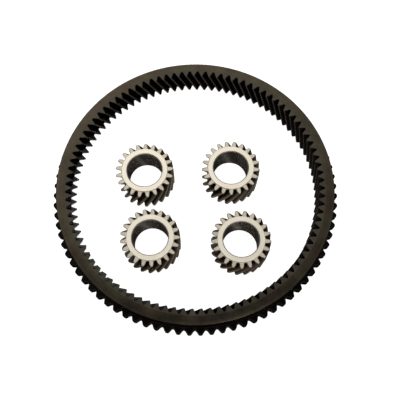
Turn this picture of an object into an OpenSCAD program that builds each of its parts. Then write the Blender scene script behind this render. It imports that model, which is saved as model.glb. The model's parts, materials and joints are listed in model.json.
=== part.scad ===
// Planetary gear set: a helical ring gear with an outer spline, and four loose planet pinions
// standing inside it. Units are millimetres. The ring's axis is +Z and both kinds of gear
// stand on the plane Z = 0. The pinions and the ring share one module, helix and hand.

/* [Gear teeth] */
// Internal teeth of the ring gear
ring_teeth = 95; // [60:1:140]
// Teeth of each planet pinion
pinion_teeth = 21; // [12:1:40]
// Normal module shared by every gear
module_n = 1.45; // [1:0.05:3]
// Helix angle, right hand on ring and pinions
helix = 22.5; // [0:0.5:30]
// Normal pressure angle
pressure = 25; // [17.5:0.5:26]
// Extra width of the ring's tooth spaces at the pitch circle
space_extra = 0.1; // [0.05:0.05:0.3]
// Thinning of the pinion teeth at the pitch circle
pinion_thin = 0.8; // [0.5:0.05:0.9]

/* [Ring gear] */
// Height of the ring gear
ring_h = 17.3; // [10:0.1:40]
// Radius to the tips of the internal teeth
ring_tip_r = 72.2; // [50:0.1:100]
// Radius to the roots of the internal teeth
ring_root_r = 75.5; // [50:0.1:110]
// Outer radius of the flat ground band on the top face
flat_r = 76.1; // [55:0.1:115]
// Radius of the plain cylindrical rim
rim_r = 81.2; // [60:0.1:120]
// Fall of the top bevel from the flat band to the rim
bevel_drop = 0.9; // [0:0.1:3]
// Small chamfer on outer edges and tooth ends
edge = 0.4; // [0.1:0.1:1]

/* [Outer spline] */
// Number of outer spline teeth
spline_teeth = 84; // [40:1:120]
// Height of the splined part above the bottom face
spline_h = 6.5; // [4:0.5:30]
// Radius to the valleys of the outer spline
spline_root_r = 82.4; // [60:0.1:125]
// Radius to the tips of the outer spline
spline_tip_r = 85; // [62:0.1:130]

/* [Pinions] */
// Height of a pinion over its two ground thrust faces
pinion_h = 17.8; // [10:0.1:40]
// Radius of the bearing bore
bore_r = 10.2; // [5:0.1:20]
// Outer radius of the raised thrust faces
hub_r = 13.4; // [6:0.1:25]
// Height of a thrust face above the tooth ends
hub_step = 0.35; // [0.1:0.05:2]
// Radius to the pinion tooth tips
pinion_tip_r = 17; // [8:0.1:40]
// Radius to the pinion tooth roots
pinion_root_r = 13.8; // [7:0.1:35]
// Chamfer at both ends of the bore
bore_edge = 0.5; // [0.1:0.1:2]

/* [Places] */
// Turn of the ring's tooth spaces at mid height
ring_turn = -0.8; // [-4:0.1:4]
// Turn of the outer spline
spline_turn = 2.1; // [-4:0.1:4]
// Back left pinion, across
back_left_x = -29.8; // [-55:0.1:55]
// Back left pinion, away from the viewer
back_left_y = 8.5; // [-55:0.1:55]
// Back right pinion, across
back_right_x = 20.9; // [-55:0.1:55]
// Back right pinion, away from the viewer
back_right_y = 10.1; // [-55:0.1:55]
// Front left pinion, across
front_left_x = -25.4; // [-55:0.1:55]
// Front left pinion, away from the viewer
front_left_y = -32.4; // [-55:0.1:55]
// Front right pinion, across
front_right_x = 26; // [-55:0.1:55]
// Front right pinion, away from the viewer
front_right_y = -33.5; // [-55:0.1:55]
// Direction of one tooth of the back left pinion, at its top
back_left_turn = 89.5; // [0:0.5:360]
// Direction of one tooth of the back right pinion, at its top
back_right_turn = 81.4; // [0:0.5:360]
// Direction of one tooth of the front left pinion, at its top
front_left_turn = 86; // [0:0.5:360]
// Direction of one tooth of the front right pinion, at its top
front_right_turn = 81.4; // [0:0.5:360]

/* [Hidden] */

ground_steel = [0.80, 0.77, 0.70];
dark_steel = [0.20, 0.18, 0.16];

// Overlap that keeps cuts clean
e = 0.01;
module_t = module_n / cos(helix);
alpha_t = atan(tan(pressure) / cos(helix));
ring_pitch_r = ring_teeth * module_t / 2;
pinion_pitch_r = pinion_teeth * module_t / 2;
half_pitch_w = PI * module_t / 4;
deg = 180 / PI;

// Involute function, in degrees
function inv(a) = (tan(a) - a / deg) * deg;
function alpha(r, base_r) = acos(min(1, base_r / r));
// Half the angle that a tooth (or a ring's tooth space) takes at radius r
function half_angle(r, pitch_r, half_w) =
    half_w / pitch_r * deg + inv(alpha_t) - inv(alpha(r, pitch_r * cos(alpha_t)));
function polar(r, a) = [r * cos(a), r * sin(a)];
// One tooth outline from [radius, angle] steps on its rising flank, mirrored to the other
function both_flanks(steps, mid) = concat(
    [for (s = steps) polar(s[0], mid - s[1])],
    [for (i = [len(steps) - 1:-1:0]) polar(steps[i][0], mid + steps[i][1])]);

// ---------- pinion ----------
pinion_base_r = pinion_pitch_r * cos(alpha_t);
pinion_half_w = half_pitch_w - pinion_thin / 2;
function pinion_half(r) = half_angle(max(r, pinion_base_r), pinion_pitch_r, pinion_half_w);
flank_mid_r = (pinion_base_r + pinion_tip_r) / 2;
// Depth over which a tooth rounds off at its tip and its root
tip_round = 0.35;
root_round = 0.4;
pinion_steps = [
    [pinion_root_r, 0.88 * 180 / pinion_teeth],
    [pinion_root_r + root_round, pinion_half(pinion_base_r) + 0.9],
    [pinion_base_r, pinion_half(pinion_base_r)],
    [flank_mid_r, pinion_half(flank_mid_r)],
    [pinion_tip_r - tip_round, pinion_half(pinion_tip_r - tip_round)],
    [pinion_tip_r, 0.5 * pinion_half(pinion_tip_r)]];

teeth_h = pinion_h - 2 * hub_step;
pinion_twist = teeth_h * tan(helix) / pinion_pitch_r * deg;

module pinion_teeth_body() {
    outline = [for (i = [0:pinion_teeth - 1])
        each both_flanks(pinion_steps, i * 360 / pinion_teeth)];
    intersection() {
        translate([0, 0, pinion_h / 2])
            linear_extrude(height = teeth_h, center = true, slices = 4,
                           twist = -pinion_twist)
                polygon(outline);
        // turned blank, with a small chamfer at both tooth ends
        translate([0, 0, hub_step]) rotate_extrude($fn = 120)
            polygon([[0, 0], [pinion_tip_r - edge, 0], [pinion_tip_r + e, edge + e],
                     [pinion_tip_r + e, teeth_h - edge - e], [pinion_tip_r - edge, teeth_h],
                     [0, teeth_h]]);
    }
}

module pinion(x, y, turn) {
    translate([x, y, 0]) difference() {
        union() {
            rotate([0, 0, turn - pinion_twist]) pinion_teeth_body();
            cylinder(r = hub_r, h = pinion_h, $fn = 120);
        }
        translate([0, 0, -e]) cylinder(r = bore_r, h = pinion_h + 2 * e, $fn = 120);
        for (flip = [0, 1]) translate([0, 0, flip * pinion_h]) mirror([0, 0, flip])
            translate([0, 0, -e])
                cylinder(r1 = bore_r + bore_edge + e, r2 = bore_r, h = bore_edge + e, $fn = 120);
    }
}

module pinion_back_left() {
    color(ground_steel) pinion(back_left_x, back_left_y, back_left_turn);
}
module pinion_back_right() {
    color(ground_steel) pinion(back_right_x, back_right_y, back_right_turn);
}
module pinion_front_left() {
    color(ground_steel) pinion(front_left_x, front_left_y, front_left_turn);
}
module pinion_front_right() {
    color(ground_steel) pinion(front_right_x, front_right_y, front_right_turn);
}

// ---------- ring gear ----------
space_half_w = half_pitch_w - pinion_thin / 2 + space_extra / 2;
function space_half(r) = half_angle(r, ring_pitch_r, space_half_w);
space_in_r = ring_tip_r - 1;
// Section of one tooth space, square to the helix
function across_helix(p) = [p[0] - ring_pitch_r, p[1] * cos(helix)];
space_steps = [
    [space_in_r, space_half(ring_tip_r) + 0.2],
    [ring_tip_r, space_half(ring_tip_r)],
    [ring_pitch_r, space_half(ring_pitch_r)],
    [ring_root_r - root_round, space_half(ring_root_r - root_round)],
    [ring_root_r, 0.35 * space_half(ring_root_r)]];

module ring_spaces() {
    section = [for (p = both_flanks(space_steps, 0)) across_helix(p)];
    reach = ring_h / cos(helix) + 4;
    for (i = [0:ring_teeth - 1]) rotate([0, 0, ring_turn + i * 360 / ring_teeth])
        translate([ring_pitch_r, 0, ring_h / 2]) rotate([-helix, 0, 0])
            linear_extrude(height = reach, center = true) polygon(section);
}

spline_pitch = 360 / spline_teeth;
spline_edge = 2 * edge;
spline_steps = [
    [spline_root_r, 0.44 * spline_pitch],
    [spline_root_r + 0.5, 0.36 * spline_pitch],
    [spline_tip_r - 0.4, 0.225 * spline_pitch],
    [spline_tip_r, 0.16 * spline_pitch]];

module spline_body() {
    outline = [for (i = [0:spline_teeth - 1])
        each both_flanks(spline_steps, spline_turn + i * spline_pitch)];
    intersection() {
        linear_extrude(height = spline_h) polygon(outline);
        // turned blank, with a chamfer at both ends of the spline
        rotate_extrude($fn = 240)
            polygon([[0, 0], [spline_tip_r - spline_edge, 0], [spline_tip_r + e, spline_edge + e],
                     [spline_tip_r + e, spline_h - spline_edge - e],
                     [spline_tip_r - spline_edge, spline_h], [0, spline_h]]);
    }
}

module ring_gear() {
    color(dark_steel) difference() {
        union() {
            rotate_extrude($fn = 240)
                polygon([[0, 0], [rim_r, 0], [rim_r, ring_h - bevel_drop - edge],
                         [rim_r - edge, ring_h - bevel_drop], [flat_r, ring_h], [0, ring_h]]);
            spline_body();
        }
        translate([0, 0, -e]) cylinder(r = ring_tip_r, h = ring_h + 2 * e, $fn = 240);
        ring_spaces();
    }
}

ring_gear();
pinion_back_left();
pinion_back_right();
pinion_front_left();
pinion_front_right();
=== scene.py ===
"""Planetary gear set: a dark ring gear lying flat, and four loose planet pinions inside it.

The gears are lofted from loops of points, closed like a ring doughnut. Every loop of a gear
has the same points, so each gear is one watertight skin of quads. All sizes are in metres.
"""
import json
import math

import bpy
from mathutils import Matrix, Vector


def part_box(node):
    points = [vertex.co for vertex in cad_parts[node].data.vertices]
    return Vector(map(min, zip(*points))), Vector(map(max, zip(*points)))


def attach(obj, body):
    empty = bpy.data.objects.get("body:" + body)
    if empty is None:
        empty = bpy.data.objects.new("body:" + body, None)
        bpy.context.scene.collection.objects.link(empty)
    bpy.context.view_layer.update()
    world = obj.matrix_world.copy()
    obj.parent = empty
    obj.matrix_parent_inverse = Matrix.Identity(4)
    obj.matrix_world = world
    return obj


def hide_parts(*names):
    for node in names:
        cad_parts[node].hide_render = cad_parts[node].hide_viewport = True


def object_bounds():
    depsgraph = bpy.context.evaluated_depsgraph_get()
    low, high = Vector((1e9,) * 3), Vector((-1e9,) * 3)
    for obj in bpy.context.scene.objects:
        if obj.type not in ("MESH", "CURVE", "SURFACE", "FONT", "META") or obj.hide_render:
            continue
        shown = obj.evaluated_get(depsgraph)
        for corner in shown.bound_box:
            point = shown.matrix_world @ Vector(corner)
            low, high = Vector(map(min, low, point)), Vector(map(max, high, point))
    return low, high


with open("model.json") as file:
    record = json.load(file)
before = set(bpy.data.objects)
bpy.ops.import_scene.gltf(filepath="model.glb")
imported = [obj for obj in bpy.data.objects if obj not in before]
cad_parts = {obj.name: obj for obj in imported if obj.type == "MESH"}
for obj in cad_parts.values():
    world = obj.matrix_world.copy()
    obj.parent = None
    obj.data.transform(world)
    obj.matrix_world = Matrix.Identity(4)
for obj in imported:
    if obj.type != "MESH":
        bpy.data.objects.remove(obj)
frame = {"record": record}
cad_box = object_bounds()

MM = 0.001
TURN = 2 * math.pi

# ---- driving sizes ----
RING_TEETH = 95
PINION_TEETH = 21
SPLINE_TEETH = 84
MODULE_N = 1.45 * MM
HELIX = math.radians(22.5)
PRESSURE = math.radians(25.0)
SPACE_EXTRA = 0.1 * MM
PINION_THIN = 0.8 * MM

RING_TIP_R = 72.2 * MM
RING_ROOT_R = 75.5 * MM
FLAT_R = 76.1 * MM
RIM_R = 81.2 * MM
BEVEL_DROP = 0.9 * MM
SPLINE_H = 6.5 * MM
SPLINE_ROOT_R = 82.4 * MM
SPLINE_TIP_R = 85.0 * MM
RING_TURN = math.radians(-0.8)
SPLINE_TURN = math.radians(2.1)

PINION_TIP_R = 17.0 * MM
PINION_ROOT_R = 13.8 * MM
HUB_R = 13.4 * MM
HUB_STEP = 0.35 * MM
BORE_EDGE = 0.5 * MM
BREAK = 0.3 * MM  # broken edges round the tooth ends
HUB_ROUND = 0.08 * MM  # rounded outer edge of a thrust face
RIM_EDGE = 0.3 * MM  # chamfer between the ring's bevel and rim
SHOULDER_FILLET = 0.25 * MM  # where the rim meets the spline
SPLINE_CHAMFER = 0.7 * MM  # both ends of the outer spline
SEAM = 0.01 * MM  # gap between the inner and outer skins, which a bridge closes
PINION_ROWS = 28  # steps up the teeth
RING_ROWS = 16
SHARP = math.radians(28)  # a crease sharper than this is shaded as an edge

# direction of one tooth of each pinion at its top, in degrees
PINION_TOOTH = {"back_left": 89.5, "back_right": 81.4, "front_left": 86.0, "front_right": 81.4}

MODULE_T = MODULE_N / math.cos(HELIX)
ALPHA_T = math.atan(math.tan(PRESSURE) / math.cos(HELIX))
RING_PITCH_R = RING_TEETH * MODULE_T / 2
PINION_PITCH_R = PINION_TEETH * MODULE_T / 2
TOOTH_HALF_W = (math.pi * MODULE_T / 2 - PINION_THIN) / 2
SPACE_HALF_W = TOOTH_HALF_W + SPACE_EXTRA / 2


# ---- gear outlines: lists of (radius, angle, height up the tooth from 0 to 1) ----
def inv(a):
    return math.tan(a) - a


def half_angle(r, pitch_r, half_w):
    """Half the angle of an involute tooth, or of a ring's tooth space, at radius r."""
    base_r = pitch_r * math.cos(ALPHA_T)
    return half_w / pitch_r + inv(ALPHA_T) - inv(math.acos(min(1.0, base_r / r)))


def pinion_flank():
    """(radius, half angle) from the middle of the gap to the middle of the tip."""
    base_r = PINION_PITCH_R * math.cos(ALPHA_T)
    half_pitch = math.pi / PINION_TEETH

    def half(r):
        return half_angle(max(r, base_r), PINION_PITCH_R, TOOTH_HALF_W)

    steps = [(PINION_ROOT_R, half_pitch), (PINION_ROOT_R, 0.94 * half_pitch)]
    foot = half(base_r)
    for t in (0.0, 0.2, 0.4, 0.6, 0.8):  # root fillet, a quarter ellipse
        s = math.radians(90 * t)
        r = PINION_ROOT_R + (base_r - PINION_ROOT_R) * (1 - math.cos(s))
        steps.append((r, foot + (0.88 * half_pitch - foot) * (1 - math.sin(s))))
    crown = PINION_TIP_R - 0.42 * MM
    for i in range(9):
        r = base_r + (crown - base_r) * i / 8
        steps.append((r, half(r)))
    edge = half(crown)
    for t in (0.25, 0.5, 0.75, 1.0):  # rounded crest
        s = math.radians(90 * t)
        r = crown + (PINION_TIP_R - crown) * math.sin(s)
        steps.append((r, edge * (0.30 + 0.70 * math.cos(s))))
    steps.append((PINION_TIP_R, 0.0))
    return steps


def ring_flank():
    """(radius, half angle) from the middle of a tooth's crest to the middle of the space's root."""
    half_pitch = math.pi / RING_TEETH

    def half(r):
        return half_angle(r, RING_PITCH_R, SPACE_HALF_W)

    crown = RING_TIP_R + 0.25 * MM
    bottom = RING_ROOT_R - 0.4 * MM
    crest = half_pitch - half(crown)
    steps = [(RING_TIP_R, half_pitch), (RING_TIP_R, half_pitch - 0.45 * crest)]
    for t in (0.35, 0.7):
        s = math.radians(90 * t)
        steps.append((RING_TIP_R + (crown - RING_TIP_R) * (1 - math.cos(s)),
                      half_pitch - crest * (0.45 + 0.55 * math.sin(s))))
    for i in range(7):
        r = crown + (bottom - crown) * i / 6
        steps.append((r, half(r)))
    for t in (0.4, 0.75):
        s = math.radians(90 * t)
        steps.append((bottom + (RING_ROOT_R - bottom) * math.sin(s), half(bottom) * math.cos(s)))
    steps.append((RING_ROOT_R, 0.0))
    return steps


def gear_outline(flank, teeth, low_r, high_r):
    """The closed outline of all teeth from one flank and its mirror image."""
    out = []
    for i in range(teeth):
        mid = i * TURN / teeth
        for r, a in flank[:-1]:
            out.append((r, mid - a, (r - low_r) / (high_r - low_r)))
        for r, a in reversed(flank[1:]):
            out.append((r, mid + a, (r - low_r) / (high_r - low_r)))
    return out


def spline_outline():
    """Rounded straight teeth. u goes across a tooth and its space, from -0.5 to 0.5."""
    spots = [-0.5, -0.46, -0.42, -0.385, -0.35, -0.32, -0.29, -0.26, -0.235, -0.205, -0.17, -0.12,
             -0.06, 0.0, 0.06, 0.12, 0.17, 0.205, 0.235, 0.26, 0.29, 0.32, 0.35, 0.385, 0.42, 0.46]
    crest, valley = 0.08, 0.48
    out = []
    for i in range(SPLINE_TEETH):
        for u in spots:
            t = min(1.0, max(0.0, (valley - abs(u)) / (valley - crest)))
            t = t * t * (3 - 2 * t)
            r = SPLINE_ROOT_R + (SPLINE_TIP_R - SPLINE_ROOT_R) * t
            out.append((r, SPLINE_TURN + (i + u) * TURN / SPLINE_TEETH, t))
    return out


def to_xy(outline, turn=0.0):
    return [(r * math.cos(a + turn), r * math.sin(a + turn)) for r, a, _ in outline]


def inset(points, distance):
    """The closed outline moved towards its left-hand side by distance."""
    n = len(points)
    out = []
    for i, (x, y) in enumerate(points):
        ax, ay = points[i - 1]
        bx, by = points[(i + 1) % n]
        tx, ty = bx - ax, by - ay
        size = math.hypot(tx, ty) or 1.0
        out.append((x - ty / size * distance, y + tx / size * distance))
    return out


def on_circle(points, radius):
    """The points moved along their own radius to a circle."""
    return [(x * radius / math.hypot(x, y), y * radius / math.hypot(x, y)) for x, y in points]


# ---- lofting ----
class Loft:
    """Collects loops of points and the skins between them into one mesh."""

    def __init__(self):
        self.verts = []
        self.faces = []
        self.slots = []
        self.height = []

    def loop(self, points, z, height=None):
        start = len(self.verts)
        self.verts += [(x, y, z) for x, y in points]
        self.height += height if height else [0.0] * len(points)
        return range(start, start + len(points))

    def skin(self, a, b, slot):
        """Quads from loop a to loop b."""
        n = len(a)
        for i in range(n):
            j = (i + 1) % n
            self.faces.append((a[i], a[j], b[j], b[i]))
            self.slots.append(slot)

    def bridge(self, a, b, slot):
        """Triangles between two circles with different numbers of points.

        a is the outer circle on a top face, and the inner one on a bottom face."""
        def angle(i):
            x, y, _ = self.verts[i]
            return math.atan2(y, x) % TURN

        a = sorted(a, key=angle)
        b = sorted(b, key=angle)
        # the angle where each step round a loop ends, with the closing step last
        end_a = [angle(i) for i in a[1:]] + [TURN + angle(a[0]), math.inf]
        end_b = [angle(i) for i in b[1:]] + [TURN + angle(b[0]), math.inf]
        i = j = 0
        while i < len(a) or j < len(b):
            if end_a[i] <= end_b[j]:
                self.faces.append((a[i % len(a)], a[(i + 1) % len(a)], b[j % len(b)]))
                i += 1
            else:
                self.faces.append((a[i % len(a)], b[(j + 1) % len(b)], b[j % len(b)]))
                j += 1
            self.slots.append(slot)

    def build(self, name, materials, place):
        mesh = bpy.data.meshes.new(name)
        mesh.from_pydata(self.verts, [], self.faces)
        for m in materials:
            mesh.materials.append(m)
        mesh.polygons.foreach_set("material_index", self.slots)
        mesh.attributes.new("tooth_height", "FLOAT", "POINT").data.foreach_set("value", self.height)
        mesh.shade_smooth()
        mesh.set_sharp_from_angle(angle=SHARP)
        mesh.validate()
        mesh.update()
        obj = bpy.data.objects.new(name, mesh)
        obj.location = place
        bpy.context.collection.objects.link(obj)
        return obj


# ---- procedural materials ----
class Nodes:
    """A short way to write a material's node tree."""

    def __init__(self, name):
        self.mat = bpy.data.materials.new(name)
        self.mat.use_nodes = True
        self.tree = self.mat.node_tree
        self.shader = self.tree.nodes["Principled BSDF"]

    def new(self, kind, inputs=None, **settings):
        node = self.tree.nodes.new(kind)
        for key, value in settings.items():
            setattr(node, key, value)
        for key, value in (inputs or {}).items():
            self.put(node.inputs[key], value)
        return node

    def put(self, socket, value):
        if isinstance(value, bpy.types.NodeSocket):
            self.tree.links.new(value, socket)
        else:
            socket.default_value = value

    def math(self, kind, a, b=0.0):
        node = self.new("ShaderNodeMath", operation=kind)
        self.put(node.inputs[0], a)
        self.put(node.inputs[1], b)
        return node.outputs[0]

    def spread(self, value, low, high):
        """value as a share of the way from low to high."""
        node = self.new("ShaderNodeMapRange", {"Value": value, "From Min": low, "From Max": high})
        return node.outputs["Result"]

    def mix(self, factor, a, b):
        node = self.new("ShaderNodeMix", data_type="RGBA")
        self.put(node.inputs["Factor"], factor)
        self.put(node.inputs[6], a)
        self.put(node.inputs[7], b)
        return node.outputs[2]

    def noise(self, vector, scale, detail=4.0, roughness=0.55):
        node = self.new("ShaderNodeTexNoise", {"Vector": vector, "Scale": scale, "Detail": detail,
                                               "Roughness": roughness})
        return node.outputs["Fac"]

    def place(self):
        return self.new("ShaderNodeTexCoord").outputs["Object"]

    def rings(self, place):
        """(radius, height) coordinates: marks along them run round the gear's axis."""
        split = self.new("ShaderNodeSeparateXYZ", {"Vector": place})
        x, y, z = split.outputs
        square = self.math("ADD", self.math("MULTIPLY", x, x), self.math("MULTIPLY", y, y))
        radius = self.math("SQRT", square)
        return self.new("ShaderNodeCombineXYZ", {"X": radius, "Y": z}).outputs[0]

    def bump(self, height, strength, distance):
        node = self.new("ShaderNodeBump", {"Height": height, "Strength": strength,
                                           "Distance": distance})
        return node.outputs["Normal"]


# oxide scale has little gleam at a low angle
DULL_EDGE = (0.25, 0.25, 0.25, 1.0)
BLACK_EDGE = (0.08, 0.08, 0.08, 1.0)


def linear(r, g, b):
    """An 8-bit display colour as a scene-linear one."""
    def one(c):
        c /= 255
        return c / 12.92 if c <= 0.04045 else ((c + 0.055) / 1.055) ** 2.4
    return (one(r), one(g), one(b), 1.0)


def turned_steel(name, colour, dark, roughness, marks, streak=0.0):
    """Ground or turned steel: fine marks round the axis, with faint stains.

    streak stretches a highlight across the marks, as on a ground bore."""
    n = Nodes(name)
    place = n.place()
    round_axis = n.rings(place)
    fine = n.noise(round_axis, 9000.0, 3.0, 0.6)
    coarse = n.noise(round_axis, 1400.0, 2.0, 0.5)
    stain = n.noise(place, 160.0, 5.0, 0.6)
    grit = n.noise(place, 2600.0, 3.0, 0.6)
    tone = n.math("ADD", n.math("MULTIPLY", fine, 0.45), n.math("MULTIPLY", coarse, 0.25))
    tone = n.math("ADD", tone, n.math("MULTIPLY", stain, 0.3))
    base = n.mix(n.spread(tone, 0.36, 0.62), dark, colour)
    n.put(n.shader.inputs["Base Color"], base)
    n.shader.inputs["Metallic"].default_value = 1.0
    rough = n.math("ADD", n.math("MULTIPLY", fine, 0.12), n.math("MULTIPLY", stain, 0.14))
    n.put(n.shader.inputs["Roughness"], n.math("ADD", rough, roughness - 0.13))
    height = n.math("ADD", fine, n.math("MULTIPLY", grit, 0.5))
    n.put(n.shader.inputs["Normal"], n.bump(height, marks, 0.00003))
    if streak:
        n.shader.inputs["Specular Tint"].default_value = DULL_EDGE
        n.shader.inputs["Anisotropic"].default_value = streak
        n.shader.inputs["Anisotropic Rotation"].default_value = 0.25
        tangent = n.new("ShaderNodeTangent", direction_type="RADIAL", axis="Z")
        n.put(n.shader.inputs["Tangent"], tangent.outputs["Tangent"])
    return n.mat


def flank_steel_with_gap_shade(name, root, flank, crest, roughness, crest_from):
    """Tooth flanks: darker towards the root as painted shade in the tooth gaps, lighter towards the
    crest, with hob marks.
    """
    n = Nodes(name)
    place = n.place()
    up = n.new("ShaderNodeAttribute", attribute_name="tooth_height").outputs["Fac"]
    film = n.noise(place, 420.0, 5.0, 0.6)
    grit = n.noise(place, 3200.0, 3.0, 0.6)
    marks = n.new("ShaderNodeTexWave", {"Vector": place, "Scale": 260.0, "Distortion": 3.0,
                                        "Detail": 2.0, "Detail Scale": 2.0},
                  wave_type="BANDS", bands_direction="Z").outputs["Fac"]
    # painted shade: the root colour darkens the flanks low in the tooth gaps
    gap_shade_rise = n.math("ADD", up, n.math("MULTIPLY", film, 0.35))
    low = n.mix(n.spread(gap_shade_rise, 0.05, 0.75), root, flank)
    crest_rise = n.math("ADD", up, n.math("MULTIPLY", n.math("SUBTRACT", film, 0.5), 0.12))
    base = n.mix(n.spread(crest_rise, crest_from, 1.0), low, crest)
    n.put(n.shader.inputs["Base Color"], base)
    n.shader.inputs["Metallic"].default_value = 1.0
    rough = n.math("ADD", n.math("MULTIPLY", film, 0.2), roughness - 0.1)
    n.put(n.shader.inputs["Roughness"], rough)
    n.shader.inputs["Specular Tint"].default_value = DULL_EDGE
    height = n.math("ADD", n.math("MULTIPLY", marks, 0.35), grit)
    n.put(n.shader.inputs["Normal"], n.bump(height, 0.22, 0.00004))
    return n.mat


def black_steel(name, colour, light, roughness, stain=None, edge=DULL_EDGE):
    """Heat-treated dark steel: blotchy scale with a faint grain and lighter rubs."""
    n = Nodes(name)
    place = n.place()
    round_axis = n.rings(place)
    blotch = n.noise(place, 90.0, 6.0, 0.62)
    grit = n.noise(place, 2400.0, 4.0, 0.65)
    turned = n.noise(round_axis, 3600.0, 2.0, 0.5)
    tone = n.math("ADD", n.math("MULTIPLY", blotch, 0.55), n.math("MULTIPLY", grit, 0.25))
    tone = n.math("ADD", tone, n.math("MULTIPLY", turned, 0.2))
    if stain:
        light = n.mix(n.spread(n.noise(place, 55.0, 3.0, 0.6), 0.42, 0.6), light, stain)
    n.put(n.shader.inputs["Base Color"], n.mix(n.spread(tone, 0.38, 0.64), colour, light))
    n.shader.inputs["Metallic"].default_value = 1.0
    rough = n.math("ADD", n.math("MULTIPLY", blotch, 0.25), roughness - 0.12)
    n.put(n.shader.inputs["Roughness"], rough)
    n.shader.inputs["Specular Tint"].default_value = edge
    height = n.math("ADD", grit, n.math("MULTIPLY", turned, 0.6))
    n.put(n.shader.inputs["Normal"], n.bump(height, 0.25, 0.00004))
    return n.mat


PINION_MATERIALS = [
    turned_steel("pinion_ground_face", linear(248, 240, 222), linear(230, 220, 199), 0.42, 0.10),
    turned_steel("pinion_tooth_end", linear(222, 213, 196), linear(180, 170, 152), 0.46, 0.16),
    # root colour first: painted shade deep in the tooth gaps
    flank_steel_with_gap_shade("pinion_flank", linear(5, 4, 4), linear(68, 61, 54), linear(112, 104, 94),
                0.42, 0.84),
    # painted shade: the bore's steel gets a dark colour for the shade inside the hole; its streak
    # comes from the lamp
    turned_steel("pinion_bore_painted_shade", linear(72, 68, 63), linear(54, 51, 47), 0.58, 0.05, 0.96),
    turned_steel("pinion_chamfer", linear(132, 125, 118), linear(100, 94, 88), 0.5, 0.1),
    # painted shade: dark steel on the hub step wall and in the corner beside it
    black_steel("pinion_step_shade", linear(40, 34, 28), linear(84, 76, 62), 0.5),
    black_steel("pinion_tooth_edge", linear(96, 86, 74), linear(138, 127, 110), 0.5),
]
HUB_FACE, TOOTH_END, FLANK, BORE, CHAMFER, STEP_SHADE, TOOTH_EDGE = range(7)

RING_MATERIALS = [
    black_steel("ring_bevel", linear(56, 49, 42), linear(80, 71, 58), 0.38, linear(76, 74, 57)),
    black_steel("ring_flat", linear(62, 56, 49), linear(84, 78, 67), 0.42, linear(80, 78, 65)),
    # root colour first: painted shade deep in the tooth gaps
    flank_steel_with_gap_shade("ring_flank", linear(6, 5, 5), linear(28, 25, 22), linear(60, 56, 54), 0.42, 0.92),
    black_steel("ring_outside", linear(16, 15, 14), linear(32, 29, 27), 0.45, edge=BLACK_EDGE),
]
BEVEL, FLAT, RING_FLANK, OUTSIDE = range(4)


# ---- pieces ----
def spiral(z, pitch_r):
    """Turn of a right-hand helix at height z."""
    return z * math.tan(HELIX) / pitch_r


def make_pinion(place_name):
    node = "pinion_" + place_name
    low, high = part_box(node)
    height = high[2] - low[2]
    bore = mounts["bore_" + place_name]
    bore_r = bore["dims"]["r_mm"] * MM
    centre = (bore["pos_m"][0], bore["pos_m"][1], low[2])
    outline = gear_outline(pinion_flank(), PINION_TEETH, PINION_ROOT_R, PINION_TIP_R)
    up = [h for _, _, h in outline]
    top_turn = math.radians(PINION_TOOTH[place_name])
    teeth_top = height - HUB_STEP

    def teeth(z):
        return to_xy(outline, top_turn + spiral(z - teeth_top, PINION_PITCH_R))

    loft = Loft()
    at_top, at_bottom = teeth(teeth_top), teeth(HUB_STEP)

    def end_loops(points, flip):
        """Loops from the bore wall out to the teeth, at one end; flip mirrors them to the top."""
        def z(depth):
            return height - depth if flip else depth

        rows = [
            (on_circle(points, bore_r), BORE_EDGE, BORE),
            (on_circle(points, bore_r + BORE_EDGE - 0.06 * MM), 0.05 * MM, CHAMFER),
            (on_circle(points, bore_r + BORE_EDGE + 0.02 * MM), 0.0, CHAMFER),
            (on_circle(points, (bore_r + HUB_R) / 2), 0.0, HUB_FACE),
            (on_circle(points, HUB_R - HUB_ROUND), 0.0, HUB_FACE),
            (on_circle(points, HUB_R), HUB_ROUND, HUB_FACE),
            # painted shade on the step wall and on a thin ring of the tooth end in its corner
            (on_circle(points, HUB_R), HUB_STEP, STEP_SHADE),
            (on_circle(points, HUB_R + 0.12 * MM), HUB_STEP, STEP_SHADE),
            (inset(points, BREAK), HUB_STEP, TOOTH_END),
            (points, HUB_STEP + BREAK, TOOTH_EDGE),
        ]
        return [(loft.loop(p, z(d), up if p is points else None), s) for p, d, s in rows]

    bottom = end_loops(at_bottom, False)
    top = end_loops(at_top, True)
    previous = bottom[-1][0]
    for i in range(1, PINION_ROWS):
        z = HUB_STEP + BREAK + (height - 2 * HUB_STEP - 2 * BREAK) * i / PINION_ROWS
        row = loft.loop(teeth(z), z, up)
        loft.skin(previous, row, FLANK)
        previous = row
    loft.skin(previous, top[-1][0], FLANK)
    for (inner, _), (outer, slot) in zip(bottom, bottom[1:]):
        loft.skin(inner, outer, slot)
    for (inner, _), (outer, slot) in zip(top, top[1:]):
        loft.skin(outer, inner, slot)
    loft.skin(top[0][0], bottom[0][0], BORE)

    obj = loft.build("planet_" + place_name, PINION_MATERIALS, centre)
    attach(obj, "planet_" + place_name)
    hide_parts(node)
    return obj


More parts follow.
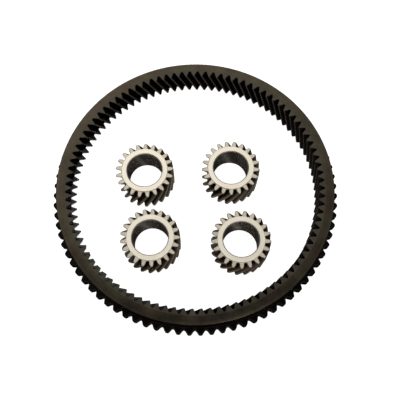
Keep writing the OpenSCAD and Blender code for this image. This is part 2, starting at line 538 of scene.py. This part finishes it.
def make_ring():
    low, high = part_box("ring_gear")
    height = high[2] - low[2]
    outline = gear_outline(ring_flank(), RING_TEETH, RING_ROOT_R, RING_TIP_R)
    up = [h for _, _, h in outline]
    middle = height / 2

    def teeth(z):
        return to_xy(outline, RING_TURN + spiral(z - middle, RING_PITCH_R))

    spline = spline_outline()
    wall = to_xy(spline)
    loft = Loft()
    rim_top = height - BEVEL_DROP

    # inside, from the bottom face up to the top face; the metal is outside the outline
    inner = [(on_circle(teeth(0), FLAT_R + 0.6 * MM), 0.0, None, OUTSIDE),
             (inset(teeth(0), -BREAK), 0.0, None, OUTSIDE),
             (teeth(BREAK), BREAK, up, OUTSIDE)]
    for i in range(1, RING_ROWS):
        z = BREAK + (height - 2 * BREAK) * i / RING_ROWS
        inner.append((teeth(z), z, up, RING_FLANK))
    inner += [(teeth(height - BREAK), height - BREAK, up, RING_FLANK),
              (inset(teeth(height), -BREAK * 0.7), height, None, FLAT),
              (on_circle(teeth(height), FLAT_R), height, None, FLAT)]
    loops = [loft.loop(p, z, h) for p, z, h, _ in inner]
    for k in range(1, len(loops)):
        loft.skin(loops[k], loops[k - 1], inner[k][3])

    # outside, from the top face down the bevel, rim, shoulder and spline to the bottom face
    outer = [(on_circle(wall, FLAT_R + SEAM), height, FLAT),
             (on_circle(wall, (FLAT_R + RIM_R) / 2), height - BEVEL_DROP / 2, BEVEL),
             (on_circle(wall, RIM_R - RIM_EDGE), rim_top, BEVEL),
             (on_circle(wall, RIM_R - RIM_EDGE * 0.3), rim_top - RIM_EDGE * 0.3, OUTSIDE),
             (on_circle(wall, RIM_R), rim_top - RIM_EDGE, OUTSIDE),
             (on_circle(wall, RIM_R), SPLINE_H + SHOULDER_FILLET, OUTSIDE),
             (on_circle(wall, RIM_R + SHOULDER_FILLET), SPLINE_H, OUTSIDE),
             (on_circle(wall, SPLINE_ROOT_R - SPLINE_CHAMFER - 0.1 * MM), SPLINE_H, OUTSIDE),
             (inset(wall, SPLINE_CHAMFER), SPLINE_H, OUTSIDE),
             (wall, SPLINE_H - SPLINE_CHAMFER, OUTSIDE),
             (wall, SPLINE_H / 2, OUTSIDE),
             (wall, SPLINE_CHAMFER, OUTSIDE),
             (inset(wall, SPLINE_CHAMFER), 0.0, OUTSIDE),
             (on_circle(wall, SPLINE_ROOT_R - 2 * SPLINE_CHAMFER), 0.0, OUTSIDE),
             (on_circle(wall, FLAT_R + 0.7 * MM), 0.0, OUTSIDE)]
    skins = [loft.loop(p, z) for p, z, _ in outer]
    for k in range(1, len(skins)):
        loft.skin(skins[k], skins[k - 1], outer[k][2])
    loft.bridge(skins[0], loops[-1], FLAT)
    loft.bridge(loops[0], skins[-1], OUTSIDE)

    obj = loft.build("ring", RING_MATERIALS, (0, 0, low[2]))
    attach(obj, "ring")
    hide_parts("ring_gear")
    return obj


# ---- stage ----
def make_floor():
    mesh = bpy.data.meshes.new("floor")
    half = 3.0
    mesh.from_pydata([(-half, -half, 0), (half, -half, 0), (half, half, 0), (-half, half, 0)],
                     [], [(0, 1, 2, 3)])
    obj = bpy.data.objects.new("floor", mesh)
    obj.location = (0, 0, cad_box[0][2] - 0.0002)
    n = Nodes("floor_paper")
    n.shader.inputs["Base Color"].default_value = (0.45, 0.45, 0.45, 1)
    n.shader.inputs["Roughness"].default_value = 0.9
    n.shader.inputs["Specular IOR Level"].default_value = 0.1
    n.shader.inputs["Emission Color"].default_value = (1, 1, 1, 1)
    n.shader.inputs["Emission Strength"].default_value = 0.97
    mesh.materials.append(n.mat)
    bpy.context.collection.objects.link(obj)


def aim(obj, target):
    direction = Vector(target) - obj.location
    obj.rotation_euler = direction.to_track_quat("-Z", "Y").to_euler()


def spot(name, place, target, radius, cone, power):
    """A lamp with a narrow cone, aimed at the pinions, that mostly misses the ring."""
    lamp = bpy.data.lights.new(name, "SPOT")
    lamp.shadow_soft_size = radius
    lamp.spot_size = math.radians(cone)
    lamp.spot_blend = 0.4
    lamp.energy = power
    obj = bpy.data.objects.new(name, lamp)
    obj.location = place
    aim(obj, target)
    bpy.context.collection.objects.link(obj)


def make_world(bright_side, low, high, horizon):
    """White studio walls, brighter towards one side, with a pale band all round near the floor.

    The band is at its full level up to 30 degrees above the horizon, and gone by about 60."""
    full_z, gone_z = 0.5, 0.88
    dark_from = -0.05
    world = bpy.data.worlds.new("studio")
    world.use_nodes = True
    tree = world.node_tree
    way = tree.nodes.new("ShaderNodeTexCoord")
    side = tree.nodes.new("ShaderNodeVectorMath")
    side.operation = "DOT_PRODUCT"
    side.inputs[1].default_value = Vector(bright_side).normalized()
    level = tree.nodes.new("ShaderNodeMapRange")
    level.interpolation_type = "SMOOTHSTEP"
    level.inputs["From Min"].default_value = dark_from
    level.inputs["From Max"].default_value = 1.0
    level.inputs["To Min"].default_value = low
    level.inputs["To Max"].default_value = high
    tree.links.new(way.outputs["Generated"], side.inputs[0])
    tree.links.new(side.outputs["Value"], level.inputs["Value"])
    split = tree.nodes.new("ShaderNodeSeparateXYZ")
    band = tree.nodes.new("ShaderNodeMapRange")
    band.interpolation_type = "SMOOTHSTEP"
    band.inputs["From Min"].default_value = gone_z
    band.inputs["From Max"].default_value = full_z
    band.inputs["To Min"].default_value = 0.0
    band.inputs["To Max"].default_value = horizon
    brighter = tree.nodes.new("ShaderNodeMath")
    brighter.operation = "MAXIMUM"
    tree.links.new(way.outputs["Generated"], split.inputs[0])
    tree.links.new(split.outputs["Z"], band.inputs["Value"])
    tree.links.new(level.outputs["Result"], brighter.inputs[0])
    tree.links.new(band.outputs["Result"], brighter.inputs[1])
    tree.links.new(brighter.outputs[0], tree.nodes["Background"].inputs["Strength"])
    tree.nodes["Background"].inputs["Color"].default_value = (1.0, 1.0, 1.0, 1)
    bpy.context.scene.world = world


def make_camera():
    """High above the front edge, looking down into the ring."""
    pitch = math.radians(70.5)
    focal_px, image_px = 573.0, 400.0
    camera = bpy.data.cameras.new("camera")
    camera.sensor_width = 36.0
    camera.lens = 36.0 * focal_px / image_px
    camera.clip_start = 0.01
    obj = bpy.data.objects.new("camera", camera)
    obj.location = (0.00275, -0.1203, 0.3286)
    look = Vector((0, math.cos(pitch), -math.sin(pitch)))
    obj.rotation_euler = look.to_track_quat("-Z", "Y").to_euler()
    bpy.context.collection.objects.link(obj)
    bpy.context.scene.camera = obj


mounts = {m["name"]: m for m in frame["record"]["mounts"]}
make_ring()
for place_name in PINION_TOOTH:
    make_pinion(place_name)
make_floor()
make_world((-0.35, 0.90, 0.20), low=0.06, high=1.7, horizon=1.0)
spot("front_spot", (0.24, -0.62, 0.65), (-0.002, -0.012, 0.01),
     radius=0.03, cone=7.6, power=12.0)
make_camera()
bpy.context.scene.view_settings.view_transform = "Standard"
